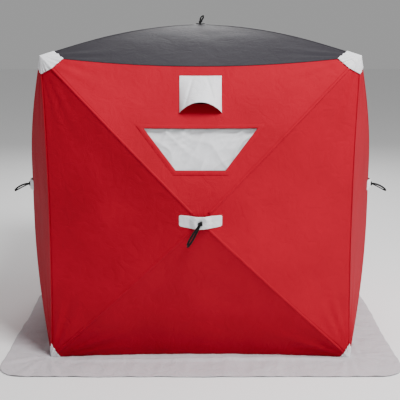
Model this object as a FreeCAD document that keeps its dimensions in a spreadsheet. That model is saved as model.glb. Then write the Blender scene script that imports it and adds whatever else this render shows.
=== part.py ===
import FreeCAD, Part
import math
import os

from FreeCAD import Placement, Rotation, Vector

# Ice fishing shelter of the hub kind, in millimetres, +Z up, origin on the ground at its centre.
# Four walls and a roof are the faces of a cube. In each face four poles run from a hub, which stands
# proud of the face, to the face's corners, and the skin is stretched over them in four triangles.
# Everything on a face is laid out in that face's own frame: its origin is the cube's centre,
# X runs to the right seen from outside, Y runs up the wall, and Z points outwards.

doc = FreeCAD.newDocument("ice_fishing_shelter")
sheet = doc.addObject("Spreadsheet::Sheet", "sizes")

SIZES = [
    ("corner_spacing", 1800.0, "between neighbouring corners, across and up"),
    ("base_lift", 4.0, "lowest corners over the ground, so that the walls clear the skirt"),
    ("wall_bulge", 250.0, "how far a wall's peak stands out of the plane of its corners"),
    ("roof_rise", 170.0, "the same for the roof"),
    ("skin_thick", 3.0, "thickness of the skin's solid"),
    ("peak_hole_radius", 36.0, "hole in the skin around a hub's bolt"),
    ("hub_radius", 50.0, "hub body"),
    ("hub_thick", 30.0, "hub body"),
    ("hub_setback", 37.0, "from the skin's peak in to the hub's pivots"),
    ("slot_width", 12.6, "slot in the hub for a pole's tongue"),
    ("slot_start", 20.0, "solid core left between the slots"),
    ("slot_past_rim", 2.0, "the slot's cut, past the hub's rim"),
    ("pin_circle", 34.0, "distance of the pivot pins from the hub's axis"),
    ("pin_radius", 4.0, "pivot pin"),
    ("pin_gap", 0.05, "running clearance of a tongue on its pin"),
    ("pin_root", 3.0, "pin set into the hub at each side of its slot"),
    ("bolt_radius", 7.0, "bolt through the hub and the skin"),
    ("cap_radius", 30.0, "cap on the bolt, outside the skin"),
    ("cap_thick", 5.0, "cap"),
    ("cap_gap", 2.0, "from the skin's peak out to the cap"),
    ("pole_radius", 5.5, "fibreglass pole, 11 mm"),
    ("tongue_width", 12.0, "pole's tongue in the hub's slot"),
    ("tongue_radius", 9.0, "half the tongue's height, and its round end"),
    ("tongue_length", 34.0, "from the pin to the ferrule's end"),
    ("rod_socket", 4.0, "pole's rod inside the ferrule"),
    ("tip_radius", 8.0, "plastic tip on the pole's corner end"),
    ("tip_length", 45.0, "tip"),
    ("tip_inset", 22.0, "aim of the poles inside the corner, along each axis"),
    ("tip_gap", 60.0, "the tips stop short of that aim"),
    ("strap_width", 24.0, "pull strap at a hub"),
    ("strap_thick", 8.0, "pull strap, both layers"),
    ("strap_length", 140.0, "pull strap"),
    ("side_strap_length", 105.0, "pull strap on a side wall, which stands out"),
    ("roof_strap_length", 50.0, "pull strap on the roof, which lies folded"),
    ("strap_lean", 30.0, "degrees that a hanging strap leans"),
    ("strap_droop", 24.0, "degrees that a strap standing out of a side wall tips down"),
    ("strap_gap", 2.0, "from the cap to a strap that stands out"),
    ("skirt_width", 280.0, "snow skirt on the ground, out from the walls"),
    ("skirt_thick", 3.0, "skirt"),
    ("skirt_lap", 5.0, "skirt under the wall's edge"),
    ("skirt_corner", 150.0, "radius of the skirt's corners"),
    ("patch_reach", 130.0, "corner patch along the edges from a corner"),
    ("patch_tip", 100.0, "corner patch along the pole seams from a corner"),
    ("patch_thick", 2.0, "corner patch"),
    ("patch_gap", 0.5, "from the skin out to the patch"),
    ("patch_over_skirt", 1.0, "from the snow skirt up to a base patch"),
    ("window_top", 405.0, "from the roof edge down the slope"),
    ("window_bottom", 649.0, "from the roof edge down the slope"),
    ("window_top_half", 325.0, "half width at the top"),
    ("window_bottom_half", 139.0, "half width at the bottom"),
    ("pane_gap", 1.0, "around the window pane"),
    ("pane_setback", 0.5, "from the skin's outer face in to the pane"),
    ("cover_lap", 18.0, "cover behind the window, past its edges"),
    ("cover_gap", 0.6, "from the skin in to the cover"),
    ("cover_thick", 2.0, "cover"),
    ("hood_top", 102.0, "vent hood, from the roof edge down the slope"),
    ("hood_bottom", 320.0, "vent hood's mouth"),
    ("hood_half", 118.0, "half width of the vent hood"),
    ("hood_lift", 75.0, "height of the hood's mouth over the skin"),
    ("hood_root", 8.0, "height of the hood's sewn top over the skin"),
    ("hood_thick", 3.0, "hood"),
    ("hood_gap", 0.6, "from the skin out to the hood"),
    ("door_scale", 0.76, "door against the wall triangle that it closes"),
    ("door_gap", 3.0, "zip gap around the door"),
]
for row, (alias, value, meaning) in enumerate(SIZES, start=1):
    sheet.set(f"A{row}", alias)
    sheet.set(f"B{row}", str(value))
    sheet.set(f"C{row}", meaning)
    sheet.setAlias(f"B{row}", alias)
doc.recompute()


def size(alias):
    """A driving dimension, read from the sheet."""
    return float(sheet.get(alias))


HALF = size("corner_spacing") / 2
CENTRE = Vector(0, 0, size("base_lift") + HALF)

# Turn of each face's frame, and how far its peak stands out of the plane of its corners.
UPRIGHT = Rotation(Vector(1, 0, 0), 90)
FACES = {
    "front": (UPRIGHT, size("wall_bulge")),
    "right": (Rotation(Vector(0, 0, 1), 90) * UPRIGHT, size("wall_bulge")),
    "back": (Rotation(Vector(0, 0, 1), 180) * UPRIGHT, size("wall_bulge")),
    "left": (Rotation(Vector(0, 0, 1), 270) * UPRIGHT, size("wall_bulge")),
    "roof": (Rotation(), size("roof_rise")),
}
WALLS = [name for name in FACES if name != "roof"]
SIDES = {"top": (0, 1), "right": (1, 0), "bottom": (0, -1), "left": (-1, 0)}
ROOF_SIDES = {"top": "back", "right": "right", "bottom": "front", "left": "left"}
# The poles of a face, by the corner that they run to, with their turn about the hub.
CORNERS = {"top_right": 45, "top_left": 135, "bottom_left": 225, "bottom_right": 315}
ROOF_CORNERS = {
    "top_right": "back_right",
    "top_left": "back_left",
    "bottom_left": "front_left",
    "bottom_right": "front_right",
}

parts = []


def keep(obj, name, placement):
    """Gives a finished sub-part its name and place, and adds it to the list that is written."""
    obj.Label = name
    obj.Placement = placement
    parts.append(obj)
    return obj


def face_place(face, lift=0.0):
    """Place of a face's frame, moved out along its own Z by lift."""
    turn = FACES[face][0]
    return Placement(CENTRE, turn) * Placement(Vector(0, 0, lift), Rotation())


def feature(name, shape):
    """A sub-part whose shape is worked out from the sheet in this script."""
    obj = doc.addObject("Part::Feature", name)
    obj.Shape = shape
    return obj


def primitive(kind, name, position, turn=None, **sizes):
    """A Part primitive whose sizes are bound to formulas on the sheet."""
    obj = doc.addObject(f"Part::{kind}", name)
    for prop, formula in sizes.items():
        obj.setExpression(prop, formula)
    obj.Placement = Placement(position, turn or Rotation())
    return obj


def prism(outer, inner):
    """Closed solid between two outlines with the same number of points."""
    def flat(points):
        return Part.Face(Part.makePolygon(points + points[:1]))

    count = len(outer)
    walls = [
        flat([outer[i], outer[(i + 1) % count], inner[(i + 1) % count], inner[i]])
        for i in range(count)
    ]
    solid = Part.Solid(Part.Shell([flat(outer), flat(inner)] + walls))
    return solid if solid.Volume > 0 else solid.reversed()


def slab(points, out_from, out_to):
    """Solid over flat points of the skin, between two distances out of it, its edges aimed at the centre."""
    return prism(
        [p * (1 + out_to / HALF) for p in points],
        [p * (1 + out_from / HALF) for p in points],
    )


def triangle(face, side):
    """Corners of one skin triangle in the face's frame: two corners of the face and its peak."""
    x, y = SIDES[side]
    first = Vector(x - y, y + x, 1) * HALF
    second = Vector(x + y, y - x, 1) * HALF
    return [first, second, Vector(0, 0, HALF + FACES[face][1])]


def shrink(points, scale, gap=0.0):
    """Outline scaled about its middle, with every edge then moved in by gap."""
    middle = sum(points, Vector()) * (1 / len(points))
    scaled = [middle + (p - middle) * scale for p in points]
    normal = (scaled[1] - scaled[0]).cross(scaled[2] - scaled[0]).normalize()
    moved = []
    for i, point in enumerate(scaled):
        before = (point - scaled[i - 1]).normalize()
        after = (scaled[(i + 1) % len(scaled)] - point).normalize()
        inward = normal.cross(before) + normal.cross(after)
        moved.append(point + inward * (gap / (1 + before.dot(after))))
    return moved


def on_slope(across, down):
    """Point on the front wall's top triangle, from the middle of its upper edge."""
    bulge = FACES["front"][1]
    slope = math.hypot(HALF, bulge)
    share = down / slope
    return Vector(across, HALF * (1 - share), HALF + bulge * share)


def trapezoid(top, bottom, top_half, bottom_half):
    """Outline on the front wall's top triangle, level at the top and the bottom."""
    return [
        on_slope(-top_half, top),
        on_slope(top_half, top),
        on_slope(bottom_half, bottom),
        on_slope(-bottom_half, bottom),
    ]


# Skin: four flat triangles over each face, with a round hole at the peak for the hub's bolt.
def peak_hole(face):
    reach = HALF + FACES[face][1]
    return Part.makeCylinder(size("peak_hole_radius"), reach, Vector(0, 0, HALF / 2))


def skin(face, side):
    inset = -size("skin_thick")
    return slab(triangle(face, side), inset, 0.0).cut(peak_hole(face))


def window_outline(grow):
    """The window's outline, with its edges moved outwards by grow."""
    outline = trapezoid(
        size("window_top"),
        size("window_bottom"),
        size("window_top_half"),
        size("window_bottom_half"),
    )
    return shrink(outline, 1.0, grow)


DOOR_WALL = "back"
DOOR_SIDE = "left"
door_hole = shrink(triangle(DOOR_WALL, DOOR_SIDE), size("door_scale"))
hole_depth = 4 * size("skin_thick")
for face in FACES:
    for side in SIDES:
        shape = skin(face, side)
        if (face, side) == ("front", "top"):
            shape = shape.cut(slab(window_outline(0.0), -hole_depth, hole_depth))
        if (face, side) == (DOOR_WALL, DOOR_SIDE):
            shape = shape.cut(slab(door_hole, -hole_depth, hole_depth))
        label = f"roof_{ROOF_SIDES[side]}" if face == "roof" else f"wall_{face}_{side}"
        keep(feature(label, shape), label, face_place(face))

# Door: a triangle of the skin that swings out on its upright edge.
door_leaf = shrink(door_hole, 1.0, size("door_gap"))
keep(
    feature("door", slab(door_leaf, -size("skin_thick"), 0.0)),
    "door",
    face_place(DOOR_WALL),
)
hinge_foot = face_place(DOOR_WALL).multVec(door_leaf[0])
print("door hinge at", [round(v, 3) for v in hinge_foot])

# Window: a clear pane in the skin, and a cover held on behind it.
pane = slab(window_outline(size("pane_gap")), -size("skin_thick"), -size("pane_setback"))
keep(feature("window_pane", pane), "window_pane", face_place("front"))
cover_front = -size("skin_thick") - size("cover_gap")
cover = slab(
    window_outline(-size("cover_lap")),
    cover_front - size("cover_thick"),
    cover_front,
)
keep(feature("window_cover", cover), "window_cover", face_place("front"))


# Vent hood: flat where it is sewn on at the top, arched at its open mouth.
def hood_section(down, lift):
    """Closed outline of the hood across the slope, at one distance down it."""
    out = (Vector(0, HALF, 0) * (FACES["front"][1] / HALF) + Vector(0, 0, HALF)).normalize()
    foot = on_slope(0, down) + out * size("hood_gap")
    half, thick = size("hood_half"), size("hood_thick")

    def at(across, height):
        return foot + Vector(across, 0, 0) + out * height

    outer = Part.Arc(at(-half, 0), at(0, lift), at(half, 0)).toShape()
    inner = Part.Arc(at(half - thick, 0), at(0, lift - thick), at(thick - half, 0)).toShape()
    right = Part.LineSegment(at(half, 0), at(half - thick, 0)).toShape()
    left = Part.LineSegment(at(thick - half, 0), at(-half, 0)).toShape()
    return Part.Wire([outer, right, inner, left])


hood = Part.makeLoft(
    [
        hood_section(size("hood_top"), size("hood_root")),
        hood_section(size("hood_bottom"), size("hood_lift")),
    ],
    True,
    True,
)
keep(feature("vent_hood", hood), "vent_hood", face_place("front"))


# Corner patches: a fan of small flat pieces over each corner of the skin, one solid a corner.
def toward(start, end, distance):
    return start + (end - start).normalize() * distance


def corner_patch(across, along, upper):
    """Patch over one corner of the cube, in the row frame about the cube's centre."""
    up = 1 if upper else -1
    corner = Vector(across, along, up) * HALF
    reach, tip = size("patch_reach"), size("patch_tip")
    wall_peak = HALF + size("wall_bulge")
    first_peak = Vector(across * wall_peak, 0, 0)
    second_peak = Vector(0, along * wall_peak, 0)
    roof_peak = Vector(0, 0, HALF + size("roof_rise"))
    ring = [
        toward(corner, Vector(across, -along, up) * HALF, reach),
        toward(corner, first_peak, tip),
        toward(corner, Vector(across, along, -up) * HALF, reach),
        toward(corner, second_peak, tip),
        toward(corner, Vector(-across, along, up) * HALF, reach),
    ]
    if upper:
        ring.append(toward(corner, roof_peak, tip))
    pairs = list(zip(ring, ring[1:] + ring[:1]))
    if not upper:
        pairs = pairs[:-1]
    low, high = size("patch_gap"), size("patch_gap") + size("patch_thick")
    pieces = [slab([corner, a, b], low, high) for a, b in pairs]
    patch = pieces[0].fuse(pieces[1:]).removeSplitter()
    if upper:
        return patch
    lowest = size("skirt_thick") + size("patch_over_skirt") - CENTRE.z
    side = 2 * reach
    below = Part.makeBox(side, side, side, corner - Vector(reach, reach, 0))
    below.translate(Vector(0, 0, lowest - side - corner.z))
    return patch.cut(below)


for name, upper in (("corner_patches_top", True), ("corner_patches_base", False)):
    solids = [corner_patch(x, y, upper) for x in (-1, 1) for y in (-1, 1)]
    patches = feature(name, Part.makeCompound(solids))
    keep(patches, name, Placement(CENTRE, Rotation()))


# Snow skirt: a flat flap on the ground along each wall, mitred at the corners.
def skirt(face):
    body = doc.addObject("PartDesign::Body", f"skirt_{face}_body")
    sketch = body.newObject("Sketcher::SketchObject", f"skirt_{face}_sketch")
    ground = next(f for f in body.Origin.OriginFeatures if f.Role == "XY_Plane")
    sketch.AttachmentSupport = [(ground, "")]
    sketch.MapMode = "FlatFace"
    inner = HALF - size("skirt_lap")
    outer = HALF + size("skirt_width")
    radius = size("skirt_corner")
    bend = outer - radius
    mitre = bend + radius * math.sqrt(0.5)
    points = [
        Vector(-inner, -inner, 0),
        Vector(inner, -inner, 0),
        Vector(mitre, -mitre, 0),
        Vector(bend, -outer, 0),
        Vector(-bend, -outer, 0),
        Vector(-mitre, -mitre, 0),
    ]
    quarter = math.pi / 4
    lines = [
        Part.LineSegment(points[0], points[1]),
        Part.LineSegment(points[1], points[2]),
        Part.ArcOfCircle(
            Part.Circle(Vector(bend, -bend, 0), Vector(0, 0, 1), radius),
            -2 * quarter,
            -quarter,
        ),
        Part.LineSegment(points[3], points[4]),
        Part.ArcOfCircle(
            Part.Circle(Vector(-bend, -bend, 0), Vector(0, 0, 1), radius),
            -3 * quarter,
            -2 * quarter,
        ),
        Part.LineSegment(points[5], points[0]),
    ]
    sketch.addGeometry(lines, False)
    pad = body.newObject("PartDesign::Pad", f"skirt_{face}_pad")
    pad.Profile = sketch
    pad.setExpression("Length", "sizes.skirt_thick")
    body.Tip = pad
    return body


for index, face in enumerate(WALLS):
    about = Rotation(Vector(0, 0, 1), 90 * index)
    keep(skirt(face), f"snow_skirt_{face}", Placement(Vector(), about))


# Hub: a disc with four slots, a pin across each slot, and a bolt that carries the outer cap.
def hub(face):
    body = doc.addObject("PartDesign::Body", f"hub_{face}_body")
    middle = next(f for f in body.Origin.OriginFeatures if f.Role == "XY_Plane")
    outline = body.newObject("Sketcher::SketchObject", f"hub_{face}_outline")
    outline.AttachmentSupport = [(middle, "")]
    outline.MapMode = "FlatFace"
    disc = Part.Circle(Vector(), Vector(0, 0, 1), size("hub_radius"))
    outline.addGeometry(disc, False)
    pad = body.newObject("PartDesign::Pad", f"hub_{face}_disc")
    pad.Profile = outline
    pad.Midplane = True
    pad.setExpression("Length", "sizes.hub_thick")
    body.Tip = pad
    doc.recompute()
    whole = body.Shape.Volume

    cut = body.newObject("Sketcher::SketchObject", f"hub_{face}_slot_sketch")
    cut.AttachmentSupport = [(middle, "")]
    cut.MapMode = "FlatFace"
    turn = Rotation(Vector(0, 0, 1), 45)
    half = size("slot_width") / 2
    start, end = size("slot_start"), size("hub_radius") + size("slot_past_rim")
    slot = [Vector(start, -half), Vector(end, -half), Vector(end, half), Vector(start, half)]
    slot = [turn.multVec(p) for p in slot]
    cut.addGeometry([Part.LineSegment(slot[i - 1], slot[i]) for i in range(4)], False)
    pocket = body.newObject("PartDesign::Pocket", f"hub_{face}_slot")
    pocket.Profile = cut
    pocket.Type = "ThroughAll"
    pocket.Midplane = True
    body.Tip = pocket
    doc.recompute()
    pattern = body.newObject("PartDesign::PolarPattern", f"hub_{face}_slots")
    pattern.Originals = [pocket]
    axis = next(f for f in body.Origin.OriginFeatures if f.Role == "Z_Axis")
    pattern.Axis = (axis, [""])
    pattern.Angle = 360
    pattern.Occurrences = 4
    body.Tip = pattern
    doc.recompute()
    if body.Shape.Volume > 0.95 * whole:
        raise RuntimeError(f"hub {face}: the slots cut nothing")

    pieces = [body]
    ring, across = size("pin_circle"), size("slot_width") + 2 * size("pin_root")
    for corner, angle in CORNERS.items():
        spin = Rotation(Vector(0, 0, 1), angle)
        lay = Rotation(Vector(1, 0, 0), 90)
        foot = spin.multVec(Vector(ring, across / 2, 0))
        name = f"hub_{face}_pin_{corner}"
        pin = primitive("Cylinder", name, foot, spin * lay, Radius="sizes.pin_radius")
        pin.setExpression("Height", "sizes.slot_width + 2 * sizes.pin_root")
        pieces.append(pin)
    bolt = primitive(
        "Cylinder",
        f"hub_{face}_bolt",
        Vector(),
        Radius="sizes.bolt_radius",
        Height="sizes.hub_setback + sizes.cap_gap + sizes.cap_thick / 2",
    )
    cap = primitive(
        "Cylinder",
        f"hub_{face}_cap",
        Vector(0, 0, size("hub_setback") + size("cap_gap")),
        Radius="sizes.cap_radius",
        Height="sizes.cap_thick",
    )
    whole_hub = doc.addObject("Part::MultiFuse", f"hub_{face}_whole")
    whole_hub.Shapes = pieces + [bolt, cap]
    return whole_hub


# Pole: a tongue on the hub's pin, the fibreglass rod, and a plastic tip at the corner.
def pivot_lift(face):
    return HALF + FACES[face][1] - size("hub_setback")


def pole_aim(face):
    """Length from the pin to the corner's aim point, and the pole's slope in degrees."""
    aim = HALF - size("tip_inset")
    run = aim * math.sqrt(2) - size("pin_circle")
    drop = pivot_lift(face) - aim
    return math.hypot(run, drop), math.degrees(math.atan2(drop, run)), drop


def pole(face, corner, length):
    name = f"pole_{face}_{corner}"
    along = Rotation(Vector(0, 1, 0), 90)
    lay = Rotation(Vector(1, 0, 0), 90)
    end = length - size("tip_gap")
    width, radius = size("tongue_width"), size("tongue_radius")
    ferrule = primitive(
        "Box",
        f"{name}_ferrule",
        Vector(0, -width / 2, -radius),
        Length="sizes.tongue_length",
        Width="sizes.tongue_width",
        Height="2 * sizes.tongue_radius",
    )
    nose = primitive(
        "Cylinder",
        f"{name}_nose",
        Vector(0, width / 2, 0),
        lay,
        Radius="sizes.tongue_radius",
        Height="sizes.tongue_width",
    )
    rod = primitive(
        "Cylinder",
        f"{name}_rod",
        Vector(size("tongue_length") - size("rod_socket"), 0, 0),
        along,
        Radius="sizes.pole_radius",
    )
    rod.Height = end - size("tongue_length")
    tip = primitive(
        "Cylinder",
        f"{name}_tip",
        Vector(end - size("tip_length"), 0, 0),
        along,
        Radius="sizes.tip_radius",
        Height="sizes.tip_length",
    )
    fused = doc.addObject("Part::MultiFuse", f"{name}_solid")
    fused.Shapes = [ferrule, nose, rod, tip]
    bore = primitive(
        "Cylinder",
        f"{name}_bore",
        Vector(0, width, 0),
        lay,
        Radius="sizes.pin_radius + sizes.pin_gap",
        Height="2 * sizes.tongue_width",
    )
    whole = doc.addObject("Part::Cut", f"{name}_whole")
    whole.Base = fused
    whole.Tool = bore
    return whole


for face in FACES:
    keep(hub(face), f"hub_{face}", face_place(face, pivot_lift(face)))
    length, slope, drop = pole_aim(face)
    print(f"{face}: poles {length:.1f} long, slope {slope:.4f} deg, hub travel {2 * drop:.2f}")
    for corner, angle in CORNERS.items():
        spin = Rotation(Vector(0, 0, 1), angle)
        at_pin = Placement(spin.multVec(Vector(size("pin_circle"), 0, 0)), spin)
        tilt = Placement(Vector(), Rotation(Vector(0, 1, 0), slope))
        name = ROOF_CORNERS[corner] if face == "roof" else corner
        place = face_place(face, pivot_lift(face)) * at_pin * tilt
        keep(pole(face, corner, length), f"pole_{face}_{name}", place)


# Pull strap: a folded length of webbing on the cap of each hub.
def strap(face, length_alias, turn):
    """Strap that runs down its own -Y from the cap, turned about the cap's middle."""
    width = size("strap_width")
    obj = primitive(
        "Box",
        f"pull_strap_{face}_webbing",
        Vector(),
        Length="sizes.strap_width",
        Width=f"sizes.{length_alias}",
        Height="sizes.strap_thick",
    )
    corner = Placement(Vector(-width / 2, width / 2 - size(length_alias), 0), Rotation())
    top = HALF + FACES[face][1] + size("cap_gap") + size("cap_thick")
    keep(obj, f"pull_strap_{face}", face_place(face, top) * Placement(Vector(), turn) * corner)


def standing_strap(face, length_alias, droop):
    """Strap that stands out of the cap along its face's Z, tipped down by droop degrees."""
    width, thick = size("strap_width"), size("strap_thick")
    webbing = primitive(
        "Box",
        f"pull_strap_{face}_webbing",
        Vector(),
        Length="sizes.strap_width",
        Width="sizes.strap_thick",
        Height=f"sizes.{length_alias}",
    )
    top = HALF + FACES[face][1] + size("cap_gap") + size("cap_thick") + size("strap_gap")
    tip = Placement(Vector(), Rotation(Vector(1, 0, 0), droop))
    corner = Placement(Vector(-width / 2, -thick / 2, 0), Rotation())
    keep(webbing, f"pull_strap_{face}", face_place(face, top) * tip * corner)


lean = Rotation(Vector(0, 0, 1), -size("strap_lean"))
strap("front", "strap_length", lean)
strap("back", "strap_length", lean)
standing_strap("left", "side_strap_length", size("strap_droop"))
standing_strap("right", "side_strap_length", size("strap_droop"))
standing_strap("roof", "roof_strap_length", 0.0)

doc.recompute()
for obj in doc.Objects:
    if "Invalid" in obj.State or "Error" in obj.State:
        raise RuntimeError(f"{obj.Label} failed: {obj.State}")
for obj in parts:
    if obj.Shape.isNull() or not obj.Shape.isValid() or not obj.Shape.Solids:
        raise RuntimeError(f"{obj.Label} has no valid solid")

os.makedirs("parts", exist_ok=True)
for obj in parts:
    obj.Shape.exportStep(f"parts/{obj.Label}.step")
print(len(parts), "sub-parts written")
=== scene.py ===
# %% [markdown]
# # A pop-up ice fishing shelter
# The shelter is a cube of coated cloth. In every face four poles push a hub outwards, and the cloth is
# pulled tight over them in four triangles. The frame, hubs and poles come from CAD. This script adds
# the cloth, the sewn details and the finishes around them.

# %% Load the frame
import math

import bmesh
import bpy
from mathutils import Matrix, Vector, noise


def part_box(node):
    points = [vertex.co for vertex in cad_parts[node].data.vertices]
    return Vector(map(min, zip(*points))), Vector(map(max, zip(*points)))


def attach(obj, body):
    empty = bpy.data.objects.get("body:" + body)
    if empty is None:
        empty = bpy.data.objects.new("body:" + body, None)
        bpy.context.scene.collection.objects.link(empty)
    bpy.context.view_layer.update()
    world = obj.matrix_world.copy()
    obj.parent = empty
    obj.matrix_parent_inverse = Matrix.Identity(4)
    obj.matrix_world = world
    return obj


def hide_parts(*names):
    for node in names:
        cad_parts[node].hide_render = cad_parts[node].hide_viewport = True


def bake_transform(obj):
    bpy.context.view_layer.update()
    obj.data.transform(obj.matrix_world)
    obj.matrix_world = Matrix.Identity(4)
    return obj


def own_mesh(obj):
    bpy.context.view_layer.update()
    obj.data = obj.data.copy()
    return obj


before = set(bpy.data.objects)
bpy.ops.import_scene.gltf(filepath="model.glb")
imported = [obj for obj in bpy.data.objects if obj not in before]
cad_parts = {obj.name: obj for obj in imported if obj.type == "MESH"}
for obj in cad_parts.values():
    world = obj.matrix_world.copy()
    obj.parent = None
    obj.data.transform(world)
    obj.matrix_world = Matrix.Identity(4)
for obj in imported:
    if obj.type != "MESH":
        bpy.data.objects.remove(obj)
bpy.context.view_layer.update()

# %% [markdown]
# Every place is worked out from the frame. A face's peak is just inside its hub's outer cap, and all
# the corners lie on a cube. Each face gets three directions: to its right, up it, and out of it.

# %% Faces of the cube
CAP_ABOVE_PEAK = 0.007
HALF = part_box("wall_front_top")[1].x
CENTRE = Vector((0, 0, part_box("wall_front_top")[1].z - HALF))
RIGHT = {"front": (1, 0, 0), "right": (0, 1, 0), "back": (-1, 0, 0), "left": (0, -1, 0), "roof": (1, 0, 0)}
UP = {"front": (0, 0, 1), "right": (0, 0, 1), "back": (0, 0, 1), "left": (0, 0, 1), "roof": (0, 1, 0)}
WALLS = ("front", "right", "back", "left")
FACES = WALLS + ("roof",)
SIDES = {"top": (0, 1), "right": (1, 0), "bottom": (0, -1), "left": (-1, 0)}
ROOF_NAMES = {"top": "back", "right": "right", "bottom": "front", "left": "left"}


def face_axes(face):
    """Directions to the right of a face, up it and out of it."""
    right, up = Vector(RIGHT[face]), Vector(UP[face])
    return right, up, right.cross(up)


def peak_reach(face):
    """Distance from the cube's centre to the peak of a face."""
    out = face_axes(face)[2]
    corners = [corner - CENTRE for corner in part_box("hub_" + face)]
    return max(corner.dot(out) for corner in corners) - CAP_ABOVE_PEAK


PEAK = {face: peak_reach(face) for face in FACES}
print("half", round(HALF, 4), "peaks", {k: round(v, 4) for k, v in PEAK.items()})

# %% [markdown]
# Cloth under tension is never flat. A pole bows a little, so the seam over it bows outwards. An edge
# between two poles is pulled inwards like a hung rope, and the middle of a triangle sinks slightly.
# Close to a corner the pull gathers the cloth in short folds that fan out. One function holds all of
# this, so that two triangles that share a seam always share its shape.

# %% Shape of the cloth
SEAM_BOW = {"front": 0.024, "right": 0.024, "back": 0.024, "left": 0.024, "roof": 0.040}
ROOF_EDGE_SAG = 0.085
UPRIGHT_EDGE_SAG = 0.022
BASE_EDGE_SAG = 0.020
BASE_EDGE_LIFT = 0.012
MIDDLE_SINK = 0.010
FOLD_START, FOLD_REACH = 0.09, 0.30
FOLD_HEIGHT = 0.0062
FEWEST_FOLDS = 4
BASE_FOLDS = 1.8
PUCKER_HEIGHT = 0.0075
BROAD_PUCKERS, FINE_PUCKERS = 2.6, 6.5
FLAT_BY = 1.02


def corners_of(face, side):
    """Two corners of a face's triangle and its peak, from the cube's centre."""
    right, up, out = face_axes(face)
    x, y = SIDES[side]
    first = (right * (x - y) + up * (y + x) + out) * HALF
    second = (right * (x + y) + up * (y - x) + out) * HALF
    return first, second, out * PEAK[face]


def normal_of(face, first, second, peak):
    """Outward normal of a face's triangle."""
    normal = (second - first).cross(peak - first).normalized()
    return normal if normal.dot(face_axes(face)[2]) > 0 else -normal


def edge_pull(first, second):
    """How the middle of an edge between two corners is pulled away from the straight line."""
    middle = (first + second) / 2
    if abs(middle.z) < HALF / 2:
        return -middle.normalized() * UPRIGHT_EDGE_SAG
    if middle.z > 0:
        return -middle.normalized() * ROOF_EDGE_SAG
    level = Vector((middle.x, middle.y, 0)).normalized()
    return -level * BASE_EDGE_SAG + Vector((0, 0, BASE_EDGE_LIFT))


def corner_folds(distance, turn, seed):
    """Height of the folds that fan out of a corner: turn is 0 at the edge and 1 at the seam."""
    count = FEWEST_FOLDS + seed % 3
    fade = math.exp(-((distance / FOLD_REACH) ** 2)) * (1 - math.exp(-((distance / FOLD_START) ** 2)))
    wave = math.sin(math.pi * turn) * math.sin(math.pi * (count * turn + 0.35 * (seed % 5)))
    return FOLD_HEIGHT * fade * wave


def cloth(face, side, u, t, lift=0.0):
    """Point on a triangle of cloth: u runs along its edge, and t from the edge to the peak."""
    first, second, peak = corners_of(face, side)
    flat = first.lerp(second, u).lerp(peak, t)
    out, normal = face_axes(face)[2], normal_of(face, first, second, peak)
    hang = 4 * u * (1 - u)
    place = flat + out * SEAM_BOW[face] * math.sin(math.pi * t)
    place += edge_pull(first, second) * hang * (1 - t) ** 2
    inner = hang * math.sin(math.pi * min(1.0, t * FLAT_BY))
    place -= normal * MIDDLE_SINK * inner
    seed = FACES.index(face) * 7 + list(SIDES).index(side) * 3
    length = (second - first).length
    for corner, along, offset in ((first, u, 0), (second, 1 - u, 2)):
        distance = (flat - corner).length
        across = along * (1 - t) * length
        turn = 0.0 if distance < 1e-6 else (2 / math.pi) * math.atan2(t * length, max(across, 1e-6))
        tall = BASE_FOLDS if corner.z < 0 else 1.0
        place += normal * tall * corner_folds(distance, min(1.0, turn), seed + offset)
    soft = noise.noise(flat * BROAD_PUCKERS + Vector((seed, 0, 0)))
    soft += 0.5 * noise.noise(flat * FINE_PUCKERS)
    place += normal * PUCKER_HEIGHT * inner * soft
    return CENTRE + place + (flat.normalized() * lift)


print("roof edge middle", [round(v, 3) for v in cloth("front", "top", 0.5, 0.0)])

# %% [markdown]
# Materials come next, so that each piece can be given its own as it is made. One function turns a hex
# colour into the linear values that a shader wants, and one adds a node. Every pattern's scale is
# worked out from a size in millimetres on the real cloth.

# %% Helpers for materials
MM = 0.001


def linear(hex_colour):
    """Linear colour of an sRGB hex value such as 'c8102e'."""
    values = [int(hex_colour[i : i + 2], 16) / 255 for i in (0, 2, 4)]
    turned = [v / 12.92 if v <= 0.04045 else ((v + 0.055) / 1.055) ** 2.4 for v in values]
    return (*turned, 1.0)


def add_node(tree, kind, links=None, values=None, **settings):
    """Adds a node, sets it up, and links its inputs to other nodes' outputs."""
    made = tree.nodes.new(kind)
    for name, value in settings.items():
        setattr(made, name, value)
    for name, value in (values or {}).items():
        made.inputs[name].default_value = value
    for name, output in (links or {}).items():
        tree.links.new(output, made.inputs[name])
    return made


def new_material(name, **values):
    """A material with one Principled shader, whose constant values sit on its own sockets."""
    made = bpy.data.materials.new(name)
    made.use_nodes = True
    shader = made.node_tree.nodes["Principled BSDF"]
    for socket, value in values.items():
        shader.inputs[socket.replace("_", " ")].default_value = value
    return made, made.node_tree, shader


# %% [markdown]
# **Oxford polyester.** The skin is a plain weave of thick and thin yarns, coated on the back. It is
# dyed right through, so its colour is even, with slow changes where it is stretched or creased. The
# real yarns are half a millimetre apart, far too fine for the render, so they are drawn 4 mm apart
# and very shallow. Crease marks from the carry bag are larger, and they are what the eye sees.

# %% Oxford polyester, dyed
YARN = 4 * MM
CREASE = 90 * MM
MOTTLE = 420 * MM
WAVE = 3.2  # a wave texture repeats this many times in a unit


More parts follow.
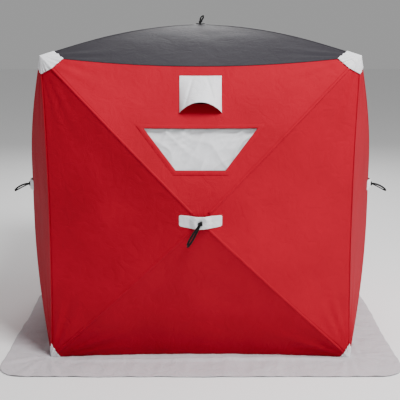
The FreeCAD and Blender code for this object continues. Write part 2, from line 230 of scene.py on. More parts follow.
def woven(name, dark, light, roughness, sheen, crease_depth, weave_depth=0.25 * MM):
    """Coated woven cloth, with yarns on its own cloth map and creases all over."""
    made, tree, shader = new_material(name, Roughness=roughness, Sheen_Weight=sheen,
                                      Sheen_Roughness=0.4, Specular_IOR_Level=0.12)
    cloth_map = add_node(tree, "ShaderNodeUVMap", uv_map="cloth")
    place = add_node(tree, "ShaderNodeTexCoord")
    yarns = []
    for direction in ("X", "Y"):
        wave = add_node(tree, "ShaderNodeTexWave", {"Vector": cloth_map.outputs["UV"]},
                        {"Scale": 1 / (YARN * WAVE), "Distortion": 0.4}, bands_direction=direction)
        yarns.append(wave.outputs["Fac"])
    weave = add_node(tree, "ShaderNodeMath", {0: yarns[0], 1: yarns[1]}, operation="MULTIPLY")
    mottle = add_node(tree, "ShaderNodeTexNoise", {"Vector": place.outputs["Object"]},
                      {"Scale": 1 / MOTTLE, "Detail": 4.0, "Roughness": 0.6})
    creases = add_node(tree, "ShaderNodeTexNoise", {"Vector": place.outputs["Object"]},
                       {"Scale": 1 / CREASE, "Detail": 5.0, "Roughness": 0.55, "Distortion": 1.6})
    tint = add_node(tree, "ShaderNodeMix", {"Factor": mottle.outputs["Fac"]},
                    {"A": linear(dark), "B": linear(light)}, data_type="RGBA")
    tree.links.new(tint.outputs["Result"], shader.inputs["Base Color"])
    folds = add_node(tree, "ShaderNodeBump", {"Height": creases.outputs["Fac"]},
                     {"Strength": 1.0, "Distance": crease_depth})
    grain = add_node(tree, "ShaderNodeBump",
                     {"Height": weave.outputs["Value"], "Normal": folds.outputs["Normal"]},
                     {"Strength": 1.0, "Distance": weave_depth})
    tree.links.new(grain.outputs["Normal"], shader.inputs["Normal"])
    return made


RED_OXFORD = woven("oxford_polyester_red", "8e0018", "ae0024", 0.72, 0.0, 4 * MM)
ROOF_OXFORD = woven("oxford_polyester_charcoal", "29272c", "343237", 0.62, 0.05, 3 * MM)
print("red cloth nodes", len(RED_OXFORD.node_tree.nodes))

# %% [markdown]
# **Silver-coated oxford.** The reinforcing patches, the hood, the window's cover and the snow skirt
# are cut from a lighter cloth with a silver-grey coating. It is stiffer and takes sharper creases, so
# its bumps are deeper, and it is a little glossier.

# %% Silver-coated oxford
GREY_OXFORD = woven("oxford_silver_coated", "d2d2d6", "ececee", 0.42, 0.05, 6 * MM)
SKIRT_OXFORD = woven("oxford_skirt_coated", "b3adb2", "cbc6ca", 0.52, 0.05, 9 * MM)
WEBBING = woven("polypropylene_webbing", "09090a", "141416", 0.70, 0.20, 1 * MM, 1.2 * MM)
MESH_CLOTH = woven("polyester_mesh_black", "050405", "0d0a0b", 0.85, 0.05, 1 * MM, 1.5 * MM)
print("greys", GREY_OXFORD.name, SKIRT_OXFORD.name)

# %% [markdown]
# **Clear vinyl, fibreglass and nylon.** The window is soft PVC sheet, which is clear and glossy with
# a faint ripple. The poles are pultruded fibreglass: fine straight grain along the rod under a resin
# gloss. The hubs are moulded nylon, a matt black with the fine grit of a spark-eroded mould.


# %% Vinyl, fibreglass and nylon
def rippled(name, colour, grain, depth, stretch=(1, 1, 1), **values):
    """A plain material with one fine pattern of bumps, grain metres across."""
    made, tree, shader = new_material(name, Base_Color=linear(colour), **values)
    place = add_node(tree, "ShaderNodeTexCoord")
    turned = add_node(tree, "ShaderNodeMapping", {"Vector": place.outputs["Object"]}, {"Scale": stretch})
    grit = add_node(tree, "ShaderNodeTexNoise", {"Vector": turned.outputs["Vector"]},
                    {"Scale": 1 / grain, "Detail": 3.0})
    bump = add_node(tree, "ShaderNodeBump", {"Height": grit.outputs["Fac"]},
                    {"Strength": 1.0, "Distance": depth})
    tree.links.new(bump.outputs["Normal"], shader.inputs["Normal"])
    return made


VINYL = rippled("pvc_sheet_clear", "e4e6ea", 70 * MM, 4 * MM, Roughness=0.12, Alpha=0.10, IOR=1.53)
FIBREGLASS = rippled("fibreglass_pultruded", "17181a", 6 * MM, 0.3 * MM, Roughness=0.35, Coat_Weight=0.3)
NYLON = rippled("nylon_moulded", "101113", 2 * MM, 0.2 * MM, Roughness=0.5, IOR=1.53)
ZIP_NYLON = rippled("nylon_zip_coil", "0c0c0e", 3 * MM, 1.0 * MM, Roughness=0.45, IOR=1.53)
print("hard finishes", VINYL.name, FIBREGLASS.name, NYLON.name)

# %% [markdown]
# CAD nodes whose shape is already right keep it, and are only given a finish.

# %% Finishes on the CAD nodes
for name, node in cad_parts.items():
    finish = FIBREGLASS if name.startswith("pole_") else NYLON
    if name.startswith(("pole_", "hub_")):
        node.data.materials.clear()
        node.data.materials.append(finish)
        node.data.polygons.foreach_set("material_index", [0] * len(node.data.polygons))
print("finished", sum(n.startswith(("pole_", "hub_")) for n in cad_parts), "hard nodes")

# %% [markdown]
# Cloth is made as a grid of points, each placed by a formula, with the corners of each square joined.
# A cloth map is stored with it, in metres, so that the weave keeps its size. Solidify then gives the
# sheet its thickness, and the finished mesh is what rides on the frame.

# %% From a grid of points to a piece
CLOTH_THICK = 1.2 * MM


def piece_from(name, mesh_data, material, thick=CLOTH_THICK, smooth=True):
    """Object from a bmesh, closed into a thin solid, with one material."""
    mesh = bpy.data.meshes.new(name)
    mesh_data.to_mesh(mesh)
    mesh_data.free()
    made = bpy.data.objects.new(name, mesh)
    bpy.context.scene.collection.objects.link(made)
    mesh.materials.append(material)
    mesh.polygons.foreach_set("use_smooth", [smooth] * len(mesh.polygons))
    if thick:
        wall = made.modifiers.new("thickness", "SOLIDIFY")
        wall.thickness = thick
        wall.offset = -1
        bpy.ops.object.select_all(action="DESELECT")
        made.select_set(True)
        bpy.context.view_layer.objects.active = made
        bpy.ops.object.modifier_apply(modifier=wall.name)
    return made


def one_side(made):
    """Area of a piece of cloth, counted on one of its two sides."""
    return sum(p.area for p in made.data.polygons) / 2


def grid(columns, rows, place, closed=False):
    """Grid mesh: place(i, j) gives a point and its cloth map. Closed joins the last column to the first."""
    made = bmesh.new()
    cloth_map = made.loops.layers.uv.new("cloth")
    data = [[place(i, j) for j in range(rows + 1)] for i in range(columns + (0 if closed else 1))]
    points = [[made.verts.new(entry[0]) for entry in column] for column in data]
    count = len(points)
    for i in range(columns):
        for j in range(rows):
            ring = ((i, j), ((i + 1) % count, j), ((i + 1) % count, j + 1), (i, j + 1))
            face = made.faces.new([points[a][b] for a, b in ring])
            for loop, (a, b) in zip(face.loops, ring):
                loop[cloth_map].uv = data[a][b][1]
    return made


def from_centre(point):
    """Direction at a point, away from the cube's centre."""
    return (point - CENTRE).normalized()


def face_outwards(made, out=from_centre):
    """Turns a sheet over if most of it faces inwards."""
    made.normal_update()
    facing = sum(face.normal.dot(out(face.calc_center_median())) * face.calc_area() for face in made.faces)
    if facing < 0:
        bmesh.ops.reverse_faces(made, faces=made.faces)
    made.normal_update()
    return made


def share_to_peak(face, point):
    """How far a point of a face is on its way from the edges to the peak, from 0 to 1."""
    right, up, _ = face_axes(face)
    away = point - CENTRE
    return 1 - min(1.0, max(abs(away.dot(right)), abs(away.dot(up))) / HALF)


def follow_hub(made, face):
    """Cloth over a face: bakes its transform and works out each point's share of the way from the face's
    edges to its peak, which nothing uses; it does not move the cloth with the hub.
    """
    edge = CENTRE + corners_of(face, "top")[0]
    CENTRE + corners_of(face, "top")[2]
    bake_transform(made)
    shares = [share_to_peak(face, vertex.co) for vertex in made.data.vertices]
    return made


def sewn(made, face, slot, *replaced):
    """Cloth on a face, with its slot, which is not used, and the names of the CAD pieces it replaces, which
    are hidden.
    """
    follow_hub(made, face)
    if replaced:
        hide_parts(*replaced)


def skin_of(roof):
    """Material and slot of the roof's cloth, or of the walls' cloth."""
    return (ROOF_OXFORD, "roof_skin") if roof else (RED_OXFORD, "red_skin")


# %% [markdown]
# **The skin.** Each face has four triangles. The grid's rows run from the edge to the peak, where they
# stop under the hub's cap. The window and the door are cut out along planes through the cube's centre,
# which leaves a clean edge for the sewn band and the zip.

# %% Grids of the skin
ACROSS, ALONG = 56, 48
UNDER_CAP = 0.98
CLOSER_AT_EDGE = 1.15


def triangle_grid(face, side, lift=0.0, across=ACROSS, along=ALONG):
    """One triangle of skin as a grid, with rows closer together near the edge."""
    first, second, peak = corners_of(face, side)
    width, height = (second - first).length, (peak - (first + second) / 2).length

    def place(i, j):
        u, t = i / across, UNDER_CAP * (j / along) ** CLOSER_AT_EDGE
        return cloth(face, side, u, t, lift), ((u - 0.5) * width * (1 - t), t * height)

    return face_outwards(grid(across, along, place))


SAME_POINT, SAME_SIDE = 0.5 * MM, 0.3 * MM


def outline_of(node, out):
    """Outer corners of a flat CAD plate, in order around it, from the cube's centre."""
    points = [v.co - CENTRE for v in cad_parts[node].data.vertices]
    unique = []
    for point in points:
        if all((point - other).length > SAME_POINT for other in unique):
            unique.append(point)
    normal = Vector()
    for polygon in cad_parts[node].data.polygons:
        if polygon.area > normal.length and polygon.normal.dot(out) > 0:
            normal = polygon.normal * polygon.area
    normal.normalize()
    far = max(p.dot(normal) for p in unique)
    outer = [p for p in unique if p.dot(normal) > far - SAME_SIDE]
    middle = sum(outer, Vector()) / len(outer)
    side = (outer[0] - middle).normalized()
    other = normal.cross(side)
    return sorted(outer, key=lambda p: math.atan2((p - middle).dot(other), (p - middle).dot(side)))


def grown(outline, distance):
    """Outline with its edges moved outwards in its own plane."""
    count = len(outline)
    normal = (outline[1] - outline[0]).cross(outline[2] - outline[1]).normalized()
    moved = []
    for i, point in enumerate(outline):
        before = (point - outline[i - 1]).normalized()
        after = (outline[(i + 1) % count] - point).normalized()
        outwards = before.cross(normal) + after.cross(normal)
        moved.append(point + outwards * (distance / (1 + before.dot(after))))
    return moved


def cut_planes(outline):
    """Planes through the cube's centre and each edge of the outline, facing outwards."""
    middle = sum(outline, Vector()) / len(outline)
    planes = []
    for i, point in enumerate(outline):
        normal = outline[i - 1].cross(point).normalized()
        planes.append(normal if normal.dot(middle) < 0 else -normal)
    return planes


def keep_region(made, inside=None, outside=None):
    """Cuts a skin grid along outlines and keeps what is inside the one and outside the other."""
    for outline in (inside, outside):
        for normal in cut_planes(outline) if outline else ():
            geometry = made.verts[:] + made.edges[:] + made.faces[:]
            bmesh.ops.bisect_plane(made, geom=geometry, plane_co=CENTRE, plane_no=normal, dist=1e-6)

    def within(point, outline):
        return all((point - CENTRE).dot(normal) < 1e-6 for normal in cut_planes(outline))

    def dropped(face):
        middle = face.calc_center_median()
        return (inside and not within(middle, inside)) or (outside and within(middle, outside))

    bmesh.ops.delete(made, geom=[face for face in made.faces if dropped(face)], context="FACES")
    return made


WINDOW = outline_of("window_pane", face_axes("front")[2])
DOOR = outline_of("door", face_axes("back")[2])
print("window corners", len(WINDOW), "door corners", len(DOOR))

# %% [markdown]
# The twenty triangles are made in one loop. Each takes the place of the flat CAD piece of the same name.

# %% Cloth triangles
WINDOW_GAP, DOOR_GAP = 1 * MM, 3 * MM
skin = {}
for face in FACES:
    for side in SIDES:
        name = f"roof_{ROOF_NAMES[side]}" if face == "roof" else f"wall_{face}_{side}"
        sheet = triangle_grid(face, side)
        if name == "wall_front_top":
            keep_region(sheet, outside=grown(WINDOW, WINDOW_GAP))
        if name == "wall_back_left":
            keep_region(sheet, outside=grown(DOOR, DOOR_GAP))
        finish, slot = skin_of(face == "roof")
        made = piece_from(name + "_cloth", sheet, finish)
        sewn(made, face, slot, name)
        first, second, peak = corners_of(face, side)
        skin[name] = made
print("skin triangles", len(skin))

# %% [markdown]
# **Places on a face.** Patches, tapes and cords lie on the cloth wherever they cross it. This function
# takes two distances from a face's middle, to the right and up, finds which triangle they fall in, and
# gives the point on the cloth there.


# %% Points on a face
def on_face(face, right, up, lift=0.0):
    """Point on a face's cloth, at distances to the right of its middle and up from it."""
    x, y = max(SIDES.values(), key=lambda side: right * side[0] + up * side[1])
    side = next(name for name, value in SIDES.items() if value == (x, y))
    reach = max(right * x + up * y, 1e-6)
    along = (right * y - up * x) / (2 * reach)
    return cloth(face, side, 0.5 + along, 1 - min(reach / HALF, 1.0), lift)


STEPS_TOWARD = 12


def toward(face, point, lift=0.0):
    """Point on a face's cloth that lies in the same direction from the cube's centre as a point."""
    right_way, up_way, out = face_axes(face)
    right, up = point.dot(right_way), point.dot(up_way)
    for _ in range(STEPS_TOWARD):
        spot = on_face(face, right, up) - CENTRE
        scale = spot.dot(out) / point.dot(out)
        right += point.dot(right_way) * scale - spot.dot(right_way)
        up += point.dot(up_way) * scale - spot.dot(up_way)
    return on_face(face, right, up, lift)


def slope_of(face, side):
    """Length of a triangle from the middle of its edge to its peak, and its outward normal."""
    first, second, peak = corners_of(face, side)
    return (peak - (first + second) / 2).length, normal_of(face, first, second, peak)


FRONT_SLOPE, FRONT_NORMAL = slope_of("front", "top")


def down_front(across, down, lift=0.0):
    """Point on the front wall's top triangle, by distance across it and down its slope."""
    share = down / FRONT_SLOPE
    u = 0.5 + across / (2 * HALF * (1 - share))
    return cloth("front", "top", u, share) + FRONT_NORMAL * lift


print("hub at", [round(v, 3) for v in on_face("front", 0, 0)])

# %% [markdown]
# **Seam tapes and piping.** Each seam over a pole is covered by a narrow tape, sewn down on both sides,
# which also keeps water out of the needle holes. The cube's edges are finished with piping: a cord
# inside a folded strip of the same cloth. Both are swept along the cloth's own lines.

# %% Seam tapes over the poles
TAPE_HALF = 6 * MM
TAPE_LIFT, TAPE_PUFF = 1.3 * MM, 0.4 * MM
TAPE_FROM, TAPE_RUN = 0.985, 0.935
DIAGONALS = {"top_right": (1, 1), "top_left": (-1, 1), "bottom_left": (-1, -1), "bottom_right": (1, -1)}


def seam_tape(face, corner):
    """Tape along one pole seam, from a corner patch to the hub."""
    x, y = DIAGONALS[corner]
    steps = 70

    def place(i, j):
        reach = HALF * (TAPE_FROM - TAPE_RUN * i / steps)
        side = TAPE_HALF * (j / 4 * 2 - 1)
        puff = TAPE_PUFF * (1 - (j / 2 - 1) ** 2)
        right, up = x * reach - y * side, y * reach + x * side
        return on_face(face, right, up, TAPE_LIFT + puff), (side, reach)

    return face_outwards(grid(steps, 4, place))


for face in FACES:
    for corner in DIAGONALS:
        finish, slot = skin_of(face == "roof")
        sewn(piece_from(f"seam_tape_{face}_{corner}", seam_tape(face, corner), finish), face, slot)
print("seam tapes", len(FACES) * len(DIAGONALS))

# %% [markdown]
# The piping on the cube's twelve edges is swept: an outline is carried along a line of points, and
# turned with it. The same function makes every cord and strap further on.

# %% Piping on the cube's edges
PIPING_RADIUS = 2.4 * MM


def sweep(points, outline, closed=False, turns=None):
    """Tube mesh along points. The outline is a list of (sideways, upwards) places around the path."""
    made = bmesh.new()
    cloth_map = made.loops.layers.uv.new("cloth")
    count = len(points)
    rings, run = [], [0.0]
    up = Vector((0, 0, 1))
    for i, point in enumerate(points):
        after = points[(i + 1) % count] if closed or i + 1 < count else point
        before = points[i - 1] if closed or i else point
        ahead = (after - before).normalized()
        side = ahead.cross(up)
        if side.length < 0.2:
            side = ahead.cross(Vector((0, 1, 0)))
        side.normalize()
        if rings and side.dot(last_side) < 0:
            side.negate()
        last_side = side
        turn = Matrix.Rotation(turns[i] if turns else 0.0, 3, ahead)
        sideways, upwards = turn @ side, turn @ side.cross(ahead)
        rings.append([made.verts.new(point + sideways * a + upwards * b) for a, b in outline])
        run.append(run[-1] + (after - point).length)
    size = len(outline)
    for i in range(count if closed else count - 1):
        for j in range(size):
            corners = ((i, j), (i + 1, j), (i + 1, j + 1), (i, j + 1))
            face = made.faces.new([rings[a % count][b % size] for a, b in corners])
            for loop, (a, b) in zip(face.loops, corners):
                loop[cloth_map].uv = (run[a], b * 2 * MM)
    if not closed:
        for ring in (rings[0], rings[-1]):
            made.faces.new(ring)
    bmesh.ops.recalc_face_normals(made, faces=made.faces)
    return made


def circle(radius, count=10):
    """Round outline for a sweep."""
    turn = 2 * math.pi / count
    return [(radius * math.cos(k * turn), radius * math.sin(k * turn)) for k in range(count)]


def edge_line(face, side, steps=60, trim=0.004, lift=0.0):
    """Points along an edge of the cube, a little short of its corners."""
    return [cloth(face, side, trim + (1 - 2 * trim) * k / steps, 0.0, lift) for k in range(steps + 1)]


EDGES = [(wall, side) for side in ("top", "right", "bottom") for wall in WALLS]
for wall, side in EDGES:
    finish, slot = skin_of(side == "top")
    line = edge_line(wall, side, lift=PIPING_RADIUS if side == "bottom" else 1 * MM)
    piping = piece_from(f"piping_{wall}_{side}", sweep(line, circle(PIPING_RADIUS)), finish, thick=0)
    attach(piping, "root")
print("piping runs", len(EDGES))

# %% [markdown]
# **Reinforcing patches.** A hub's bolt and a pole's tip would tear the cloth, so each gets a patch of
# the silver cloth. A hub patch is a rectangle sewn over the hub's cap, which pushes it out, so that short
# creases run away from it. A corner patch is a kite on each face, and they meet on the cube's edges.

# %% Hub patches
PATCH_LIFT = 1.5 * MM
PATCH_THICK = 1.0 * MM
PATCH_HALF_WIDTH = 121 * MM
PATCH_ABOVE, PATCH_BELOW = 34 * MM, 26 * MM
CAP_EDGE, CAP_SLOPE = 31 * MM, 34 * MM
PEAK_SLOPE = 0.30
OVER_CAP = 1.6 * MM
TOP_DIP, FOOT_BOW = 3 * MM, 12 * MM
END_TRIM, END_SHARE = 5 * MM, 0.07
CREASE_HEIGHT, CREASE_COUNT = 2.2 * MM, 7
CREASE_MIDDLE, CREASE_FADE = 60 * MM, 35 * MM


def hub_patch(face):
    """Patch across a wall's hub, pushed out by the cap under it."""
    columns, rows = 72, 24

    def place(i, j):
        across = PATCH_HALF_WIDTH * (2 * i / columns - 1)
        share = across / PATCH_HALF_WIDTH
        trim = END_TRIM * max(0.0, abs(share) - (1 - END_SHARE)) / END_SHARE
        top = PATCH_ABOVE - trim + TOP_DIP * share**2
        bottom = -PATCH_BELOW - FOOT_BOW * (1 - share**2) + trim
        up = bottom + (top - bottom) * j / rows
        reach = math.hypot(across, up)
        sway = 2 * noise.noise(Vector((across * 30, up * 30, 1)))
        crease = abs(math.sin(CREASE_COUNT * math.atan2(up, across) + sway))
        ripple = CREASE_HEIGHT * crease * math.exp(-(((reach - CREASE_MIDDLE) / CREASE_FADE) ** 2))
        share = min(1.0, max(0.0, (reach - CAP_EDGE) / CAP_SLOPE))
        over_cap = (1 - share * share * (3 - 2 * share)) * (CAP_ABOVE_PEAK + reach * PEAK_SLOPE + OVER_CAP)
        spot = on_face(face, across, up, PATCH_LIFT + ripple)
        return spot + face_axes(face)[2] * over_cap, (across, up)

    return face_outwards(grid(columns, rows, place))


for face in WALLS:
    patch = piece_from(f"hub_patch_{face}", hub_patch(face), GREY_OXFORD, PATCH_THICK)
    sewn(patch, face, "grey_fabric")
print("hub patches", len(WALLS))

# %% [markdown]
# A corner patch is set out by three reaches: along the face's level edge, along its upright edge, and
# from the corner in towards the hub. Those at the foot of the walls are the smallest.

# %% Corner patches
ROOF_KITE = (0.132, 0.132, 0.070)
TOP_KITE = (0.132, 0.104, 0.070)
BASE_KITE = (0.062, 0.092, 0.038)
CORNER_LIFT, CORNER_CRUMPLE = 5.5 * MM, 0.6 * MM


def kite_reach(face, corner):
    """Reaches of a corner patch on one face."""
    if face == "roof":
        return ROOF_KITE
    return TOP_KITE if "top" in corner else BASE_KITE


def corner_kite(face, corner):
    """One face's share of a corner patch, as a kite from the corner along both edges."""
    x, y = DIAGONALS[corner]
    columns = 22
    level, upright, seam = (1 - reach / HALF for reach in kite_reach(face, corner))
    points = ((1, 1), (level, 1), (seam, seam), (1, upright))

    def place(i, j):
        p, q = i / columns, j / columns
        weights = ((1 - p) * (1 - q), p * (1 - q), p * q, (1 - p) * q)
        right = sum(w * point[0] for w, point in zip(weights, points)) * x * HALF
        up = sum(w * point[1] for w, point in zip(weights, points)) * y * HALF
        spot = on_face(face, right, up, CORNER_LIFT)
        spot += (spot - CENTRE).normalized() * CORNER_CRUMPLE * noise.noise(spot * 38)
        return spot, (right, up)

    return face_outwards(grid(columns, columns, place))


for face in FACES:
    for corner in DIAGONALS:
        kite = piece_from(f"corner_patch_{face}_{corner}", corner_kite(face, corner), GREY_OXFORD,
                          PATCH_THICK)
        sewn(kite, face, "grey_fabric")
        if (face, corner) == ("front", "top_left"):
            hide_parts("corner_patches_top")
        if (face, corner) == ("front", "bottom_left"):
            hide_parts("corner_patches_base")
print("corner patches", len(FACES) * len(DIAGONALS))

# %% [markdown]
# ** Window.** A band of the red cloth is folded and sewn round the opening. The clear vinyl lies behind
# it, and a cover of silver cloth hangs inside, held along its edges. It is not stretched, so it shows
# sharp creases from folding, which run across it at a slant. A thin black zip runs along the band's top
# and another along its foot. Both are also painted shadow: dark lines for the shaded slit at the band's
# edges.

# %% Window band, pane and cover
BAND_WIDTH, BAND_FOLD, BAND_HEIGHT = 24 * MM, 3 * MM, 3.0 * MM
COVER_CREASES = ((0.9, 0.12, 17.0), (-0.7, 0.17, 12.0), (2.2, 0.09, 7.0))
COVER_HOLLOWS, COVER_TALLEST = 6 * MM, 22 * MM
SHADOW_ZIP_INSET, SHADOW_ZIP_LIFT, SHADOW_ZIP_RADIUS = 1.5 * MM, 0.6 * MM, 1.7 * MM


def window_sheet(inside, outside=None, lift=0.0, shape=None, across=168, along=150):
    """Piece of the front top triangle round the window, at a height that shape may vary."""
    made = triangle_grid("front", "top", 0.0, across, along)
    keep_region(made, inside=inside, outside=outside)
    for vertex in made.verts:
        height = lift + (shape(vertex.co - CENTRE) if shape else 0.0)
        vertex.co += FRONT_NORMAL * height
    made.normal_update()
    return made


def away_from(outline, point):
    """Distance from a point to the nearest edge of an outline."""
    best = 1.0
    for i, corner in enumerate(outline):
        run = corner - outline[i - 1]
        share = max(0.0, min(1.0, (point - outline[i - 1]).dot(run) / run.length_squared))
        best = min(best, (point - outline[i - 1] - run * share).length)
    return best


def band_height(point):
    """Rounded height of the folded band, highest along its middle."""
    middle = grown(WINDOW, BAND_WIDTH / 2 - BAND_FOLD)
    share = min(1.0, away_from(middle, point) / (BAND_WIDTH / 2 + BAND_FOLD))
    return BAND_HEIGHT * (1 - share**2)


def cover_creases(point):
    """Creases of the loose cover: slanting ridges of different sharpness, and soft hollows."""
    across, down = point.x, (HALF - point.z)
    total = 0.0
    for k, (slant, spacing, height) in enumerate(COVER_CREASES):
        run = (across + slant * down) / spacing + 1.4 * noise.noise(point * 5 + Vector((k * 9, 0, 0)))
        ridge = 1 - abs(2 * (run - math.floor(run)) - 1)
        total += height * MM * ridge**2.2 * (0.45 + noise.noise(point * 4 + Vector((0, k * 7, 3))))
    return min(total + COVER_HOLLOWS * noise.noise(point * 8), COVER_TALLEST)


ring = window_sheet(grown(WINDOW, BAND_WIDTH), grown(WINDOW, -BAND_FOLD), 1.2 * MM, band_height)
window_band = piece_from("window_band", ring, RED_OXFORD, 1.4 * MM)
sewn(window_band, "front", "red_skin")
pane = window_sheet(grown(WINDOW, 8 * MM), None, -2.4 * MM, lambda p: 0.8 * MM * noise.noise(p * 7))
window_pane = piece_from("window_pane_vinyl", pane, VINYL, 0.6 * MM)
sewn(window_pane, "front", "window_clear", "window_pane")
cover = window_sheet(grown(WINDOW, 14 * MM), None, -28 * MM, cover_creases)
window_cover = piece_from("window_cover_loose", cover, GREY_OXFORD, 0.8 * MM)
sewn(window_cover, "front", "grey_fabric", "window_cover")
# The zips' black is also painted shadow, for the shaded slit along the band's top and foot.
corners = sorted(grown(WINDOW, -SHADOW_ZIP_INSET), key=lambda p: (-p.z, p.x))
for place, (start, end) in (("top", corners[:2]), ("foot", corners[2:])):
    line = [toward("front", start.lerp(end, k / 50), SHADOW_ZIP_LIFT) for k in range(51)]
    rim = piece_from(f"window_zip_and_slit_shadow_{place}", sweep(line, circle(SHADOW_ZIP_RADIUS, 8)), ZIP_NYLON, thick=0)
    sewn(rim, "front", "hub_plastic")
print("window pieces", window_band.name, window_pane.name, window_cover.name)

# %% [markdown]
# ** Vent hood.** A stiffened flap of silver cloth stands over an opening in the wall. It is sewn flat
# along its top and its sides, and arches towards the mouth, which is cut as a curve. Two soft folds run
# down it where it was folded in the bag. Black mesh closes the opening behind it, and its near-black
# is also painted shade for the dark hollow under the hood.

# %% Vent hood and its mesh
HOOD_TOP, HOOD_BOTTOM = 66 * MM, 290 * MM
HOOD_HALF = 119 * MM
HOOD_RISE = 72 * MM
MOUTH_CUT = 50 * MM
HOOD_LIFT = 2.5 * MM
HOOD_CRUMPLE = 1.4 * MM
FOLD_LINES = ((-40 * MM, -88 * MM), (34 * MM, 84 * MM))
FOLD_WIDTH, FOLD_DEPTH = 9 * MM, 13 * MM


def hood_height(across, share):
    """Height of the hood over the wall, by distance across and share of the way to its mouth."""
    bow = (1 - (across / HOOD_HALF) ** 2) ** 0.75 if abs(across) < HOOD_HALF else 0.0
    rise = HOOD_LIFT + (HOOD_RISE * share**0.9) * bow
    for top, foot in FOLD_LINES:
        off = (across - top - (foot - top) * share) / FOLD_WIDTH
        rise -= FOLD_DEPTH * (share * (1.25 - share)) ** 0.6 * bow * math.exp(-(off**2))
    return rise


def hood_sheet(columns=72, rows=56):
    """Hood as a grid, with columns closer together at its sides."""
    def place(i, j):
        side = math.sin(math.pi / 2 * (2 * i / columns - 1))
        across, share = HOOD_HALF * side, j / rows
        mouth = HOOD_BOTTOM - MOUTH_CUT * (1 - side**2)
        down = HOOD_TOP + (mouth - HOOD_TOP) * share
        crumple = HOOD_CRUMPLE * noise.noise(Vector((across * 22, down * 16, 5))) * share
        return down_front(across, down, hood_height(across, share) + crumple), (across, down)

    return face_outwards(grid(columns, rows, place))


hood = piece_from("vent_hood_cloth", hood_sheet(), GREY_OXFORD, 1.6 * MM)
sewn(hood, "front", "grey_fabric", "vent_hood")
hood_area = one_side(hood)


def flat_panel(name, across, top, bottom, lift, finish, slot, thick=0.8 * MM, columns=40, rows=40):
    """Flat panel sewn on the front wall's top triangle, between two distances down its slope."""
    def place(i, j):
        side, down = across * (2 * i / columns - 1), top + (bottom - top) * j / rows
        return down_front(side, down, lift), (side, down)

    made = piece_from(name, face_outwards(grid(columns, rows, place)), finish, thick)
    sewn(made, "front", slot)
    return made


# The mesh panel's near-black is also painted shade for the dark hollow under the hood.
flat_panel("vent_mesh_and_painted_shade", HOOD_HALF - 6 * MM, HOOD_TOP + 30 * MM, HOOD_BOTTOM - 52 * MM, 2.4 * MM, MESH_CLOTH,
           "strap_webbing")
flat_panel("vent_top_hem", HOOD_HALF + 1 * MM, HOOD_TOP - 3 * MM, HOOD_TOP + 9 * MM, 4.4 * MM, GREY_OXFORD,
           "grey_fabric")


def mouth_binding():
    """Bound edge of the hood's mouth, with the curve of the cut."""
    points = []
    for k in range(61):
        side = math.sin(math.pi / 2 * (2 * k / 60 - 1))
        down = HOOD_BOTTOM - MOUTH_CUT * (1 - side**2)
        points.append(down_front(HOOD_HALF * side, down, hood_height(HOOD_HALF * side, 1.0)))
    return sweep(points, circle(2.2 * MM, 8))


binding = piece_from("vent_mouth_binding", mouth_binding(), GREY_OXFORD, thick=0)
sewn(binding, "front", "grey_fabric")
print("vent hood", hood.name, round(hood_area, 3), "m2")

# %% [markdown]
# **Snow skirt.** A flap of coated cloth is sewn to the foot of the walls and lies out on the ice, where
# snow is shovelled on it to keep the wind out. It isn't stretched, so it lies in loose folds that run
# outwards from the walls, with more of them at the corners. It never goes below the ice.

# %% Snow skirt
SKIRT_WIDTH = 282 * MM
SKIRT_CORNER = 150 * MM
SKIRT_LIFT = 2.0 * MM
SKIRT_FOLDS = ((7, 0.4, 6), (13, 1.9, 5), (23, 4.1, 4))
SKIRT_CRUMPLE = 3 * MM
EDGE_WANDER = ((14 * MM, 2.3), (6 * MM, 9))
FOOT_FADE = 50 * MM
WALL_CREASE = 11 * MM
CREASE_LINE, CREASE_SWAY, CREASE_WIDTH = 60 * MM, 14 * MM, 17 * MM


def wall_foot(turn):
    """Point at the foot of the walls, and the direction away from it, for a turn from 0 to 4."""
    wall = WALLS[int(turn) % 4]
    right, _, out = face_axes(wall)
    along = turn - int(turn)
    return cloth(wall, "bottom", 1 - along, 0.0), right, out, along


def rounded_square(away, reach, radius):
    """Distance from the centre to a square with rounded corners, in a direction on the ground."""
    x, y = sorted((abs(away.x), abs(away.y)))
    flat = reach / y
    bend = reach - radius
    if x * flat <= bend:
        return flat
    dot = (x + y) * bend
    return dot + math.sqrt(max(0.0, dot**2 - 2 * bend**2 + radius**2))


CORNER_CREASES = ((-62, 5, 10), (-38, 6, 15), (-14, 5, 11), (6, 7, 20), (27, 5, 12), (49, 6, 15), (70, 4, 9))
CORNER_SWAY = 8
CREASE_START, CREASE_END = 70 * MM, 270 * MM


def corner_creases(spot):
    """Creases that fan out of the nearest corner of the walls, as heights over the ice."""
    corner = Vector((math.copysign(HALF, spot.x), math.copysign(HALF, spot.y), 0))
    away = Vector((spot.x, spot.y, 0)) - corner
    reach = away.length
    diagonal = corner.normalized()
    turn = math.degrees(math.atan2(diagonal.cross(away).z, diagonal.dot(away)))
    turn += 9 * noise.noise(spot * 5)
    height = 0.0
    for place, width, tall in CORNER_CREASES:
        sway = place + CORNER_SWAY * math.copysign(1, corner.x * corner.y)
        height += tall * MM * math.exp(-(((turn - sway) / width) ** 2))
    return height * (1 - math.exp(-((reach / CREASE_START) ** 2))) * math.exp(-((reach / CREASE_END) ** 2))


def wall_crease(along, distance):
    """Height of a long low fold beside the wall, which fades out before the corners."""
    middle = math.sin(math.pi * along) ** 0.6
    line = CREASE_LINE + CREASE_SWAY * math.sin(5 * along)
    return WALL_CREASE * middle * math.exp(-(((distance - line) / CREASE_WIDTH) ** 2))


def around(angle, scale, layer):
    """Noise on a circle, so that it meets itself after a full turn."""
    return noise.noise(Vector((math.cos(angle) * scale, math.sin(angle) * scale, layer)))


